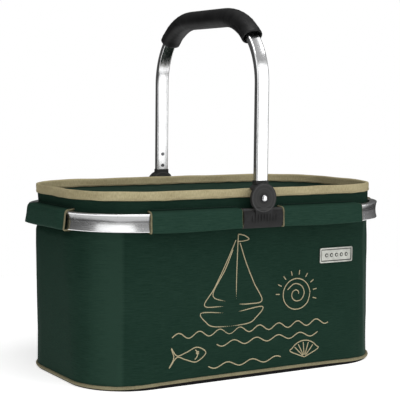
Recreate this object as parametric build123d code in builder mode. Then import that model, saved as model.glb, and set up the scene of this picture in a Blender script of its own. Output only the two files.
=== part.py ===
"""Folding shopping basket: a stiff fabric bag hung in an aluminium rail, with a bow handle that folds down.

Millimetres. +Z is up, the origin is the middle of the underside, and X runs along the basket. The handle
stands over the middle of the long sides and swings about Y. "Out" is the distance outwards from the bag's
outer face, so every piece round the rim is placed by its distance out.
"""

import os

from build123d import *

# Bag
rim_length = 444.0
rim_width = 238.0
rim_radius = 88.0
rim_height = 239.5
length_taper = 5.5
width_taper = 5.0
base_radius = 72.0
fabric = 1.2
board = 3.0
lining = 1.0
underside = 1.6
base_board_thickness = 3.0
base_board_gap = 0.5
wall_to_band_gap = 0.3
piping_radius = 2.4
binding_height = 11.0
binding_thickness = 1.0

# Rail
rail_height = 22.0
rail_depth = 10.0
rail_hollow = 2.0
rail_wall = 1.5
rail_bead = 1.1
rail_out = 3.0
rail_below_rim = 47.5
joiner_length = 54.0
joiner_clearance = 0.1

# Fabric tunnels round the rail
tunnel_fabric = 1.0
tunnel_slack = 0.8
tunnel_fillet = 3.5
window_from_end = 65.0
window_from_side = 62.0
edging_width = 4.0
edging_thickness = 0.5
edging_gap = 0.3

# Clamps that join the rail halves and carry the handle
clamp_length = 58.0
clamp_cover = 1.2
clamp_bulge = 3.6
clamp_edge = 0.8
clamp_plate = 1.4
window_margin = 1.5
clamp_screw_spacing = 40.0
clamp_screw_radius = 1.6
clamp_screw_head_radius = 3.0
clamp_screw_head = 1.2
clamp_screw_reach = 12.0
clamp_rib_count = 9
clamp_rib_pitch = 4.4
clamp_rib_width = 1.2
clamp_rib_depth = 0.6
ear_radius = 18.5
ear_thickness = 4.0
ear_neck = 25.0
ear_rim = 1.0
ear_recess = 0.5
pin_radius = 3.0
pin_head_radius = 4.6
pin_head_height = 2.6
pin_tail_radius = 5.0
pin_tail_thickness = 0.9
running_clearance = 0.05
washer_thickness = 0.5
washer_radius = 9.0
washer_gap = 0.1

# Handle
bow_width = 18.0
bow_depth = 9.0
bow_hollow = 0.8
bow_wall = 1.3
bow_bead = 2.2
bow_rise = 226.0
bow_bend = 85.0
foot_neck = 21.5
spigot_length = 34.0
spigot_clearance = 0.1
foot_radius = 12.3
foot_clearance = 0.5
foot_fan_radius = 18.5
foot_fan_half_angle = 48.0
tail_to_binding = 1.0
rivet_radius = 1.6
rivet_head_radius = 2.4
rivet_head_height = 0.9
rivet_reach = 5.0
rivet_first = 5.5
rivet_spacing = 16.0
grip_width = 28.0
grip_depth = 24.0
grip_half_angle = 47.0
grip_lip = 2.0
grip_mouth_angle = 9.0
grip_end_fillet = 1.2

# Badge
badge_length = 53.5
badge_height = 19.5
badge_from_end = 69.5
badge_below_rim = 81.5
badge_thickness = 1.4
badge_border = 2.2
badge_corner = 2.0
badge_recess = 0.5
badge_stud_count = 5
badge_stud_pitch = 8.0
badge_stud_radius = 2.0
badge_stand_off = 0.3

# Worked out from the sizes above
half_rim_width = rim_width / 2
base_length = rim_length - length_taper
base_width = rim_width - width_taper
wall_bottom = underside
rail_bottom = rim_height - rail_below_rim
rail_middle = rail_bottom + rail_height / 2
rail_top = rail_bottom + rail_height
rail_centre_out = rail_out + rail_depth / 2
tunnel_low = rail_bottom - tunnel_slack - tunnel_fabric
tunnel_high = rail_top + tunnel_slack + tunnel_fabric
tunnel_out = rail_out + rail_depth + tunnel_slack + tunnel_fabric
band_bottom = tunnel_low
wall_top = band_bottom - wall_to_band_gap
band_top = rim_height - binding_thickness
band_thickness = fabric + lining
binding_inset = band_thickness + binding_thickness
wall_thickness = fabric + board + lining
corner_window_x = rim_length / 2 - window_from_end
corner_window_y = half_rim_width - window_from_side
clamp_window = clamp_length / 2 + window_margin
clamp_top = rail_top + clamp_cover
clamp_low = rail_bottom - clamp_cover
pivot_height = clamp_top + foot_clearance + foot_radius
pin_tail_seat = binding_thickness + tail_to_binding + pin_tail_thickness
foot_inner_out = pin_tail_seat + washer_gap
bow_centre_out = foot_inner_out + bow_depth / 2
foot_outer_out = foot_inner_out + bow_depth
ear_inner_out = foot_outer_out + washer_gap + washer_thickness
ear_outer_out = ear_inner_out + ear_thickness
ear_front_y = half_rim_width + ear_outer_out - clamp_edge
bow_leg = half_rim_width + bow_centre_out
bow_top = pivot_height + bow_rise
bow_end = pivot_height + foot_neck
bow_bend_y = bow_leg - bow_bend
bow_bend_z = bow_top - bow_bend
badge_middle_x = rim_length / 2 - badge_from_end - badge_length / 2
badge_middle_z = rim_height - badge_below_rim - badge_height / 2

os.makedirs("parts", exist_ok=True)


def save(piece, name):
    """Labels a finished piece and writes it as its own STEP file."""
    piece.label = name
    export_step(piece, f"parts/{name}.step")


def rim_outline(inset, height):
    """The bag's outline at the rim, moved inwards by inset (outwards where negative)."""
    with BuildSketch(Plane.XY.offset(height)) as outline:
        RectangleRounded(rim_length - 2 * inset, rim_width - 2 * inset, rim_radius - inset)
    return outline.sketch


def base_outline(inset, height):
    """The bag's outline at its foot, moved inwards by inset."""
    with BuildSketch(Plane.XY.offset(height)) as outline:
        RectangleRounded(base_length - 2 * inset, base_width - 2 * inset, base_radius - inset)
    return outline.sketch


def tapered_block(inset):
    """Everything inside the wall's outer face moved inwards by inset."""
    with BuildPart() as block:
        loft([base_outline(inset, wall_bottom), rim_outline(inset, wall_top)], ruled=True)
    return block.part


def wall_layer(outer_inset, inner_inset):
    """One layer of the tapering wall, between two distances in from its outer face."""
    with BuildPart() as layer:
        add(tapered_block(outer_inset))
        add(tapered_block(inner_inset), mode=Mode.SUBTRACT)
    return layer.part


def rim_ring(outer_inset, inner_inset, low, high):
    """An upright ring round the rim, between two distances in from the bag's outer face."""
    with BuildPart() as ring:
        extrude(rim_outline(outer_inset, low), amount=high - low)
        extrude(rim_outline(inner_inset, low), amount=high - low, mode=Mode.SUBTRACT)
    return ring.part


def both_sides(piece, name):
    """Writes a piece for the front and its mirror image for the rear."""
    save(piece, f"front_{name}")
    save(mirror(piece, about=Plane.XZ), f"rear_{name}")


def both_ends(piece, name):
    """Writes a piece for the left and its mirror image for the right."""
    save(piece, f"left_{name}")
    save(mirror(piece, about=Plane.YZ), f"right_{name}")


def across(x):
    """A plane that cuts the front rail at x. Its own axes are the distance out and the height."""
    return Plane(origin=(x, -half_rim_width, 0), x_dir=(0, -1, 0), z_dir=(-1, 0, 0))


def facing(out):
    """A plane along the front, that far out. Its own axes are X and the height, and it faces out."""
    return Plane(origin=(0, -half_rim_width - out, 0), x_dir=(1, 0, 0), z_dir=(0, -1, 0))


def base_plate(inset, low, thickness):
    """A flat plate that follows the bag's foot."""
    with BuildPart() as plate:
        extrude(base_outline(inset, low), amount=thickness)
    return plate.part


# Underside, its board and the lining on it
save(base_plate(0, 0, underside), "base_fabric")
board_inset = wall_thickness + base_board_gap
save(base_plate(board_inset, underside, base_board_thickness), "base_board")
save(base_plate(board_inset, underside + base_board_thickness, lining), "base_lining")

# Wall: outer fabric, stiffener and lining
save(wall_layer(0, fabric), "outer_wall")
save(wall_layer(fabric, fabric + board), "wall_stiffener")
save(wall_layer(fabric + board, wall_thickness), "wall_lining")

# Piping round the foot, cut to lie against the wall
with BuildPart() as base_piping:
    with BuildLine() as piping_route:
        add(base_outline(0, underside + piping_radius).wire())
    with BuildSketch(Plane(origin=piping_route.line @ 0, z_dir=piping_route.line % 0)):
        Circle(piping_radius)
    sweep()
    add(tapered_block(0), mode=Mode.SUBTRACT)
save(base_piping.part, "base_piping")

# Band of fabric above the tunnels, and the binding over its top edge
band_outer = rim_ring(0, fabric, band_bottom, band_top)
band_lining = rim_ring(fabric, band_thickness, band_bottom, band_top)
save(band_outer, "band_outer")
save(band_lining, "band_lining")
with BuildPart() as rim_binding:
    add(rim_ring(-binding_thickness, binding_inset, rim_height - binding_height, rim_height))
    fillet(rim_binding.faces().sort_by(Axis.Z)[-1].edges(), radius=binding_thickness * 0.9)
    add(rim_ring(0, band_thickness, band_bottom, band_top), mode=Mode.SUBTRACT)
save(rim_binding.part, "rim_binding")


def rail_outline(plane, inset):
    """The rail's section, hollow-faced on its outer side, drawn smaller by inset all round."""
    inner = rail_out + inset
    outer = rail_out + rail_depth - inset
    low = rail_bottom + inset
    high = rail_top - inset
    with BuildSketch(plane) as section:
        with BuildLine():
            face = ThreePointArc((outer, low), (outer - rail_hollow, rail_middle), (outer, high))
            Polyline(face @ 1, (inner, high), (inner, low), face @ 0)
        make_face()
        fillet(section.vertices(), radius=rail_bead)
    return section.sketch


# Rail halves, bent round the bag and meeting inside the clamps
rail_route_y = half_rim_width + rail_centre_out
rail_route_x = rim_length / 2 + rail_centre_out
with BuildPart() as screw_holes:
    with BuildSketch(Plane.XZ.offset(-2 * half_rim_width)):
        with Locations((0, rail_middle)):
            with GridLocations(clamp_screw_spacing, 1, 2, 1):
                Circle(clamp_screw_radius)
    extrude(amount=4 * half_rim_width)
with BuildPart() as rail_half:
    with BuildLine(Plane.XY.offset(rail_middle)) as rail_route:
        FilletPolyline(
            (0, -rail_route_y),
            (-rail_route_x, -rail_route_y),
            (-rail_route_x, rail_route_y),
            (0, rail_route_y),
            radius=rim_radius + rail_centre_out,
        )
    sweep(sections=rail_outline(across(0), 0) - rail_outline(across(0), rail_wall), path=rail_route.line)
    add(screw_holes.part, mode=Mode.SUBTRACT)
both_ends(rail_half.part, "rail")

# Joiner inside the two rail ends
with BuildPart() as rail_joiner:
    joiner_outline = rail_outline(across(0), rail_wall + joiner_clearance)
    extrude(joiner_outline, amount=joiner_length / 2, both=True)
    add(screw_holes.part, mode=Mode.SUBTRACT)
both_sides(rail_joiner.part, "rail_joiner")

# Clamp: a cover over the rail with the pivot's ear on top
with BuildPart() as clamp:
    with BuildSketch(across(clamp_length / 2)):
        with BuildLine():
            bulge = ThreePointArc(
                (rail_out + rail_depth, clamp_low),
                (rail_out + rail_depth + clamp_bulge, rail_middle),
                (rail_out + rail_depth, clamp_top),
            )
            Polyline(bulge @ 1, (rail_out, clamp_top), (rail_out, clamp_low), bulge @ 0)
        make_face()
    extrude(amount=clamp_length)
    with BuildSketch(facing(ear_inner_out)):
        with Locations((0, pivot_height)):
            Circle(ear_radius)
        with Locations((0, (rail_middle + pivot_height) / 2)):
            Rectangle(ear_neck, pivot_height - rail_middle)
    extrude(amount=ear_thickness)
    extrude(rail_outline(across(0), 0), amount=clamp_length, both=True, mode=Mode.SUBTRACT)
    ear_front = clamp.edges().filter_by(GeomType.CIRCLE).filter_by(
        lambda edge: abs(edge.radius - ear_radius) < clamp_edge and edge.center().Y < -ear_front_y
    )
    fillet(ear_front, radius=clamp_edge)
    with BuildSketch(facing(ear_outer_out)):
        with Locations((0, pivot_height)):
            Circle(ear_radius - ear_rim)
    extrude(amount=-ear_recess, mode=Mode.SUBTRACT)
    with BuildSketch(facing(ear_inner_out)):
        with Locations((0, pivot_height)):
            Circle(pin_radius)
    extrude(amount=ear_thickness, mode=Mode.SUBTRACT)
    with BuildSketch(facing(rail_out + rail_depth + clamp_bulge - clamp_rib_depth)):
        with Locations((0, rail_middle)):
            with GridLocations(clamp_rib_pitch, 1, clamp_rib_count, 1):
                SlotOverall(rail_height / 2, clamp_rib_width, rotation=90)
    extrude(amount=clamp_rib_depth, mode=Mode.SUBTRACT)
    with BuildSketch(facing(rail_out)):
        with Locations((0, rail_middle)):
            with GridLocations(clamp_screw_spacing, 1, 2, 1):
                Circle(clamp_screw_radius)
    extrude(amount=clamp_screw_reach, mode=Mode.SUBTRACT)
both_sides(clamp.part, "clamp")

# Backing plate and the two screws that pull it against the clamp
with BuildPart() as clamp_backing:
    with BuildSketch(facing(rail_out)):
        with Locations((0, rail_middle)):
            RectangleRounded(clamp_length, clamp_top - clamp_low, clamp_cover)
    extrude(amount=-clamp_plate)
    add(screw_holes.part, mode=Mode.SUBTRACT)
both_sides(clamp_backing.part, "clamp_plate")
with BuildPart() as clamp_screws:
    with BuildSketch(facing(rail_out - clamp_plate)):
        with Locations((0, rail_middle)):
            with GridLocations(clamp_screw_spacing, 1, 2, 1):
                Circle(clamp_screw_radius)
    extrude(amount=clamp_plate + clamp_screw_reach)
    with BuildSketch(facing(rail_out - clamp_plate)):
        with Locations((0, rail_middle)):
            with GridLocations(clamp_screw_spacing, 1, 2, 1):
                Circle(clamp_screw_head_radius)
    extrude(amount=-clamp_screw_head)
both_sides(clamp_screws.part, "clamp_screws")

# Pivot pin, riveted over behind the foot, and the washer between foot and ear
pin_head_seat = ear_outer_out - ear_recess
with BuildPart() as pivot_pin:
    with BuildSketch(facing(pin_tail_seat - pin_tail_thickness)):
        with Locations((0, pivot_height)):
            Circle(pin_tail_radius)
    extrude(amount=pin_tail_thickness)
    with BuildSketch(facing(pin_tail_seat)):
        with Locations((0, pivot_height)):
            Circle(pin_radius)
    extrude(amount=pin_head_seat - pin_tail_seat)
    with BuildSketch(facing(pin_head_seat)):
        with Locations((0, pivot_height)):
            Circle(pin_head_radius)
    extrude(amount=pin_head_height)
    fillet(pivot_pin.edges().sort_by(Axis.Y)[0], radius=pin_head_height * 0.95)
both_sides(pivot_pin.part, "pivot_pin")
with BuildPart() as pivot_washer:
    with BuildSketch(facing(ear_inner_out - washer_thickness)):
        with Locations((0, pivot_height)):
            Circle(washer_radius)
            Circle(pin_radius, mode=Mode.SUBTRACT)
    extrude(amount=washer_thickness)
both_sides(pivot_washer.part, "pivot_washer")

# Fabric tunnels round the rail, one to each stretch between two windows
def rounded_ring(outer, inner, low, high, radius):
    """A ring round the rim whose two outer edges are rounded."""
    with BuildPart() as ring:
        add(rim_ring(-outer, -inner, low, high))
        top = ring.faces().sort_by(Axis.Z)[-1]
        bottom = ring.faces().sort_by(Axis.Z)[0]
        fillet([*top.outer_wire().edges(), *bottom.outer_wire().edges()], radius=radius)
    return ring.part


tunnel_solid = rounded_ring(tunnel_out, 0, tunnel_low, tunnel_high, tunnel_fillet)
tunnel_hollow = rounded_ring(
    tunnel_out - tunnel_fabric,
    tunnel_fabric,
    tunnel_low + tunnel_fabric,
    tunnel_high - tunnel_fabric,
    tunnel_fillet - tunnel_fabric,
)
tunnel_ring = tunnel_solid - tunnel_hollow
tunnel_reach = 4 * tunnel_out
side_tunnel_length = corner_window_x - clamp_window
with BuildPart() as side_tunnel:
    add(tunnel_ring)
    with Locations((-clamp_window - side_tunnel_length / 2, -half_rim_width, rail_middle)):
        Box(side_tunnel_length, tunnel_reach, tunnel_reach, mode=Mode.INTERSECT)
save(side_tunnel.part, "front_left_tunnel")
save(mirror(side_tunnel.part, about=Plane.YZ), "front_right_tunnel")
save(mirror(side_tunnel.part, about=Plane.XZ), "rear_left_tunnel")
save(mirror(mirror(side_tunnel.part, about=Plane.XZ), about=Plane.YZ), "rear_right_tunnel")
with BuildPart() as end_tunnel:
    add(tunnel_ring)
    with Locations((-rim_length / 2, 0, rail_middle)):
        Box(tunnel_reach, 2 * corner_window_y, tunnel_reach, mode=Mode.INTERSECT)
both_ends(end_tunnel.part, "end_tunnel")

# Tapes that bind the tunnels' ends
edging_ring = rounded_ring(
    tunnel_out + edging_thickness,
    edging_gap,
    tunnel_low - edging_thickness,
    tunnel_high + edging_thickness,
    tunnel_fillet + edging_thickness,
)
with BuildPart() as edging_zones:
    with Locations(*[(side * (clamp_window + edging_width / 2), 0, rail_middle) for side in (-1, 1)]):
        Box(edging_width, 2 * rim_width, tunnel_reach)
    with Locations(*[(side * (corner_window_x - edging_width / 2), 0, rail_middle) for side in (-1, 1)]):
        Box(edging_width, 2 * rim_width, tunnel_reach)
    with Locations(*[(0, side * (corner_window_y - edging_width / 2), rail_middle) for side in (-1, 1)]):
        Box(2 * rim_length, edging_width, tunnel_reach)
with BuildPart() as tunnel_edging:
    add(edging_ring)
    add(tunnel_solid, mode=Mode.SUBTRACT)
    add(edging_zones.part, mode=Mode.INTERSECT)
save(tunnel_edging.part, "tunnel_edging")


def bow_outline(plane, inset):
    """The bow's section, slightly hollow on both wide faces, drawn smaller by inset all round."""
    side = bow_width / 2 - inset
    face = bow_depth / 2 - inset
    with BuildSketch(plane) as section:
        with BuildLine():
            near = ThreePointArc((-side, -face), (0, bow_hollow - face), (side, -face))
            far = ThreePointArc((side, face), (0, face - bow_hollow), (-side, face))
            Line(near @ 1, far @ 0)
            Line(far @ 1, near @ 0)
        make_face()
        fillet(section.vertices(), radius=bow_bead - inset)
    return section.sketch


# Bow of the handle, a flattened tube
bow_foot = Plane(origin=(0, -bow_leg, bow_end), x_dir=(1, 0, 0), z_dir=(0, 0, 1))
with BuildLine(Plane.YZ) as bow_route:
    FilletPolyline(
        (-bow_leg, bow_end),
        (-bow_leg, bow_top),
        (bow_leg, bow_top),
        (bow_leg, bow_end),
        radius=bow_bend,
    )
with BuildPart() as bow_solid:
    sweep(sections=bow_outline(bow_foot, 0), path=bow_route.line)
with BuildPart() as bow_core:
    sweep(sections=bow_outline(bow_foot, bow_wall), path=bow_route.line)
with BuildPart() as rivet_holes:
    with BuildSketch(facing(foot_inner_out)):
        with Locations((0, bow_end + rivet_first), (0, bow_end + rivet_first + rivet_spacing)):
            Circle(rivet_radius)
    extrude(amount=rivet_reach)
with BuildPart() as handle_bow:
    add(bow_solid.part)
    add(bow_core.part, mode=Mode.SUBTRACT)
    add(rivet_holes.part, mode=Mode.SUBTRACT)
    add(mirror(rivet_holes.part, about=Plane.XZ), mode=Mode.SUBTRACT)
save(handle_bow.part, "handle_bow")

# Foot that swings on the pin: a disc, a fan that stops against the clamp, and a spigot up inside the bow
with BuildPart() as foot:
    with BuildSketch(facing(foot_inner_out)) as foot_face:
        with BuildLine():
            fan = CenterArc(
                (0, pivot_height), foot_fan_radius, 90 - foot_fan_half_angle, 2 * foot_fan_half_angle
            )
            Polyline(fan @ 1, (0, pivot_height), fan @ 0)
        make_face()
        with Locations((0, pivot_height)):
            Circle(foot_radius)
        with Locations((0, (pivot_height + bow_end) / 2)):
            Rectangle(bow_width, bow_end - pivot_height)
        with Locations((0, pivot_height)):
            Circle(pin_radius + running_clearance, mode=Mode.SUBTRACT)
    extrude(amount=bow_depth)
    add(bow_outline(bow_foot, bow_wall + spigot_clearance))
    extrude(amount=spigot_length)
    add(rivet_holes.part, mode=Mode.SUBTRACT)
both_sides(foot.part, "foot")

# Rivets through the bow's inner face into the spigot
rivet_head_out = foot_inner_out + bow_hollow - rivet_head_height
with BuildPart() as foot_rivets:
    with BuildSketch(facing(rivet_head_out)):
        with Locations((0, bow_end + rivet_first), (0, bow_end + rivet_first + rivet_spacing)):
            Circle(rivet_head_radius)
    extrude(amount=2 * rivet_head_height)
    fillet(foot_rivets.faces().filter_by(Axis.Y).sort_by(Axis.Y)[-2:].edges(), radius=rivet_head_height / 2)
    add(bow_solid.part, mode=Mode.SUBTRACT)
    add(rivet_holes.part)
both_sides(foot_rivets.part, "foot_rivets")


def grip_route(low_angle, high_angle):
    """The middle of the bow from one bend over the top to the other, or only part of one bend."""
    with BuildLine(Plane.YZ) as route:
        near = CenterArc((-bow_bend_y, bow_bend_z), bow_bend, 90 + low_angle, high_angle - low_angle)
        if high_angle == 0:
            far = CenterArc((bow_bend_y, bow_bend_z), bow_bend, 90, -low_angle)
            Line(near @ 1, far @ 0)
    return route.line


# Soft grip over the top of the bow, hollowed out at its two mouths
with BuildPart() as grip_mouth:
    mouth_route = grip_route(grip_half_angle, grip_half_angle - grip_mouth_angle)
    with BuildSketch(Plane(origin=mouth_route @ 0, x_dir=(1, 0, 0), z_dir=mouth_route % 0)):
        Ellipse(grip_width / 2 - grip_lip, grip_depth / 2 - grip_lip)
    sweep(path=mouth_route)
with BuildPart() as grip:
    whole_route = grip_route(grip_half_angle, 0)
    with BuildSketch(Plane(origin=whole_route @ 0, x_dir=(1, 0, 0), z_dir=whole_route % 0)):
        Ellipse(grip_width / 2, grip_depth / 2)
    sweep(path=whole_route)
    fillet(grip.faces().filter_by(GeomType.PLANE).edges(), radius=grip_end_fillet)
    add(grip_mouth.part, mode=Mode.SUBTRACT)
    add(mirror(grip_mouth.part, about=Plane.XZ), mode=Mode.SUBTRACT)
    add(bow_solid.part, mode=Mode.SUBTRACT)
save(grip.part, "grip")


def badge_blank(margin):
    """A block through the wall with the badge's outline, drawn smaller by margin all round."""
    width = badge_length - 2 * margin
    height = badge_height - 2 * margin
    with BuildPart() as blank:
        with BuildSketch(facing(tunnel_out)):
            with Locations((badge_middle_x, badge_middle_z)):
                RectangleRounded(width, height, badge_corner)
        extrude(amount=-tunnel_reach)
    return blank.part


# Badge on the right of the front, bent to the wall, with a row of studs in a sunk field
with BuildPart() as badge_studs:
    with BuildSketch(facing(tunnel_out)):
        with Locations((badge_middle_x, badge_middle_z)):
            with GridLocations(badge_stud_pitch, 1, badge_stud_count, 1):
                Circle(badge_stud_radius)
    extrude(amount=-tunnel_reach)
badge_face = badge_stand_off + badge_thickness
with BuildPart() as badge:
    add(tapered_block(-badge_face))
    add(tapered_block(-badge_stand_off), mode=Mode.SUBTRACT)
    add(badge_blank(0), mode=Mode.INTERSECT)
    sunk_field = tapered_block(-badge_face) - tapered_block(badge_recess - badge_face)
    add((sunk_field & badge_blank(badge_border)) - badge_studs.part, mode=Mode.SUBTRACT)
save(badge.part, "badge")
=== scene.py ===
"""Looks for a folding shopping basket: a stiff woven bag hung in an aluminium rail, with a bow handle.

Metres, +Z up, X along the basket; the badge and the embroidery are on the -Y side.
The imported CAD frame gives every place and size. Soft pieces are modelled here and stand for their CAD
solids; the metal and the moulded plastic keep their CAD shapes and get finishes.
"""

import math
import random

import bmesh
import bpy
import numpy as np
from mathutils import Matrix, Vector


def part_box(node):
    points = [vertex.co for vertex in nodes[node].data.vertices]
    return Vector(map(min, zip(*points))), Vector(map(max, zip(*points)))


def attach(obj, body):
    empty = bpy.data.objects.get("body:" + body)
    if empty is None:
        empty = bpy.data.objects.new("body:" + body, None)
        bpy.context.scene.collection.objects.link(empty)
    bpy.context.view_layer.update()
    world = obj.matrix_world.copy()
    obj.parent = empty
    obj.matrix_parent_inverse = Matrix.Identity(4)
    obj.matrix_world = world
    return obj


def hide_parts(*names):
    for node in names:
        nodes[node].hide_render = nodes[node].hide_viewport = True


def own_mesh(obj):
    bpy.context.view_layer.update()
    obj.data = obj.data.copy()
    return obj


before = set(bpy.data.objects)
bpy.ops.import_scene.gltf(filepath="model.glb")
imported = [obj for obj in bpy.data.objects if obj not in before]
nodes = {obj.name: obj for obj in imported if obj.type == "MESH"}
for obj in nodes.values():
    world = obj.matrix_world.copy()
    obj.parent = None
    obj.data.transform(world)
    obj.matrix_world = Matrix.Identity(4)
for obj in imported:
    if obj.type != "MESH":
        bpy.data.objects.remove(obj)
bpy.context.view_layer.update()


# ---------------------------------------------------------------- sizes taken from the frame

def span(node, axis):
    """How far a CAD node reaches along an axis."""
    low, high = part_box(node)
    return high[axis] - low[axis]


def middle_of(node):
    """The middle of a CAD node's box."""
    low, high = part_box(node)
    return (low + high) / 2


RIM_LENGTH = span("band_outer", 0)
RIM_WIDTH = span("band_outer", 1)
BASE_LENGTH = span("base_fabric", 0)
BASE_WIDTH = span("base_fabric", 1)
RIM_RADIUS = 0.088
BASE_RADIUS = 0.072
WALL_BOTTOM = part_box("outer_wall")[0].z
WALL_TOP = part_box("outer_wall")[1].z
BAND_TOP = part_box("band_outer")[1].z
RIM_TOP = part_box("rim_binding")[1].z
BINDING_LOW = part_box("rim_binding")[0].z
LINING_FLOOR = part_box("base_lining")[1].z
RAIL_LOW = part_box("left_rail")[0].z
RAIL_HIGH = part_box("left_rail")[1].z
CLAMP_TOP = RAIL_HIGH + 0.0012
PIVOT_HEIGHT = middle_of("front_pivot_pin").z


# ---------------------------------------------------------------- node graphs

class Value:
    """A socket that can be used in ordinary arithmetic; each operation adds one Math node."""

    def __init__(self, finish, socket):
        self.finish = finish
        self.socket = socket

    def _math(self, operation, first, second=None):
        values = {0: first} if second is None else {0: first, 1: second}
        return self.finish.node("ShaderNodeMath", values, operation=operation)

    def __add__(self, other):
        return self._math("ADD", self, other)

    def __radd__(self, other):
        return self._math("ADD", other, self)

    def __sub__(self, other):
        return self._math("SUBTRACT", self, other)

    def __rsub__(self, other):
        return self._math("SUBTRACT", other, self)

    def __mul__(self, other):
        return self._math("MULTIPLY", self, other)

    def __rmul__(self, other):
        return self._math("MULTIPLY", other, self)

    def __abs__(self):
        return self._math("ABSOLUTE", self)

    def root(self):
        """The square root."""
        return self._math("SQRT", self)

    def clamped(self):
        """Held between 0 and 1."""
        return self.finish.node("ShaderNodeClamp", {0: self})


class Tree:
    """A node tree that nodes are added to."""

    def __init__(self, tree):
        self.tree = tree

    def put(self, socket, value):
        """Sets a socket to a constant, or links a value to it."""
        if isinstance(value, Value):
            self.tree.links.new(value.socket, socket)
        elif isinstance(value, bpy.types.NodeSocket):
            self.tree.links.new(value, socket)
        else:
            socket.default_value = value

    def node(self, kind, values=None, output=0, **settings):
        """Adds a node: its settings first, then the values or links of its sockets."""
        made = self.tree.nodes.new(kind)
        for name, setting in settings.items():
            setattr(made, name, setting)
        for name, value in (values or {}).items():
            self.put(made.inputs[name], value)
        return Value(self, made.outputs[output]) if made.outputs else None


class Finish(Tree):
    """One material and the nodes in it."""

    def __init__(self, name, **constants):
        self.material = bpy.data.materials.new(name)
        self.material.use_nodes = True
        super().__init__(self.material.node_tree)
        self.shader = self.tree.nodes["Principled BSDF"]
        for socket, value in constants.items():
            self.shader.inputs[socket.replace("_", " ")].default_value = value

    def mix(self, share, first, second):
        """The second colour over the first."""
        first, second = (
            (*c, 1) if isinstance(c, tuple) and len(c) == 3 else c for c in (first, second)
        )
        return self.node(
            "ShaderNodeMix",
            {0: share, 6: first, 7: second},
            output=2,
            data_type="RGBA",
        )

    def place(self, scale=(1, 1, 1), turn=(0, 0, 0), by="UV"):
        """Where a point is on the piece: along and up for sewn pieces, or in the row frame."""
        source = self.node("ShaderNodeTexCoord", output=2 if by == "UV" else 3)
        return self.node("ShaderNodeMapping", {0: source, 2: turn, 3: scale})

    def parts(self, where, *axes):
        """Some of a place's coordinates: 0 along the basket, 1 across it, 2 up."""
        return [self.node("ShaderNodeSeparateXYZ", {0: where}, output=axis) for axis in axes]

    def noise(self, where, scale, detail=2.0, roughness=0.5):
        """Soft random values about 0.5."""
        return self.node(
            "ShaderNodeTexNoise",
            {"Vector": where, "Scale": scale, "Detail": detail, "Roughness": roughness},
        )

    def wave(self, where, scale, distortion=0.0, direction="X"):
        """Even stripes from 0 to 1."""
        return self.node(
            "ShaderNodeTexWave",
            {"Vector": where, "Scale": scale, "Distortion": distortion, "Detail": 1.0},
            output=1,
            bands_direction=direction,
        )

    def spread(self, value, low, high, to_low=0.0, to_high=1.0):
        """A value stretched from one span to another, held inside it."""
        return self.node("ShaderNodeMapRange", {0: value, 1: low, 2: high, 3: to_low, 4: to_high})

    def bump(self, height, distance, strength=1.0):
        """Relief on the surface."""
        relief = self.node(
            "ShaderNodeBump", {"Height": height, "Distance": distance, "Strength": strength}
        )
        self.put(self.shader.inputs["Normal"], relief)

    def colour(self, value):
        """Sets the base colour."""
        self.put(self.shader.inputs["Base Color"], value)

    def roughness(self, value):
        """Sets the roughness."""
        self.put(self.shader.inputs["Roughness"], value)


# ---------------------------------------------------------------- finishes

def woven(name, dark, light, streak=1.0, corner_highlight=0.0):
    """Melange bag cloth: long pale slubs over a plain weave, with a painted highlight on the corners if
    asked.
    """
    cloth = Finish(name, Specular_IOR_Level=0.02)
    slubs = cloth.noise(cloth.place(scale=(46, 1500, 1)), 1.0, detail=3.0, roughness=0.6)
    fine = cloth.noise(cloth.place(scale=(150, 2100, 1)), 1.0, detail=2.0)
    patches = cloth.noise(cloth.place(scale=(9, 14, 1)), 1.0, detail=2.0)
    weft = cloth.wave(cloth.place(), 230, direction="Y", distortion=0.6)
    warp = cloth.wave(cloth.place(), 260, direction="X", distortion=0.6)
    share = cloth.spread(slubs * 0.62 + fine * 0.38, 0.30, 0.76) * streak
    share = (share + cloth.spread(patches, 0.35, 0.75, -0.06, 0.10)).clamped()
    # Painted highlight: paler cloth on each corner's flat stretch, standing in for the light that catches it.
    if corner_highlight:
        share = (share + corner_highlight_mask(cloth) * corner_highlight).clamped()
    cloth.colour(cloth.mix(share, dark, light))
    cloth.roughness(cloth.spread(slubs, 0.3, 0.7, 0.55, 0.68))
    cloth.bump(weft * 0.5 + warp * 0.35 + slubs * 0.6 + fine * 0.4, 0.00022, 0.7)
    return cloth.material


def corner_highlight_mask(cloth):
    """1 in the flat stretch of each corner between its two folds, fading towards the short sides: where the
    cloth's painted highlight goes.
    """
    across, along = cloth.parts(cloth.place(by="Object"), 0, 1)
    across = abs(across) - (RIM_LENGTH / 2 - RIM_RADIUS)
    along = abs(along) - (RIM_WIDTH / 2 - RIM_RADIUS)
    turn = cloth.node("ShaderNodeMath", {0: across, 1: along}, operation="ARCTAN2")
    start, full, fading, end = (math.radians(angle) for angle in (30, 33.5, 41, 66))
    return cloth.spread(turn, start, full) - cloth.spread(turn, fading, end)


def ribbed_tape(name, dark, light):
    """Grosgrain tape: close ribs across it, a little soiled and uneven."""
    tape = Finish(name, Specular_IOR_Level=0.15)
    ribs = tape.wave(tape.place(), 330, direction="X", distortion=0.5)
    threads = tape.noise(tape.place(scale=(700, 260, 1)), 1.0, detail=2.0)
    uneven = tape.noise(tape.place(scale=(22, 60, 1)), 1.0, detail=3.0)
    share = (tape.spread(threads * 0.5 + uneven * 0.5, 0.34, 0.64) * 0.8 + ribs * 0.2).clamped()
    tape.colour(tape.mix(share, dark, light))
    tape.roughness(tape.spread(uneven, 0.3, 0.7, 0.62, 0.78))
    tape.bump(ribs * 0.7 + threads * 0.5, 0.00018, 0.8)
    return tape.material


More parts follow.
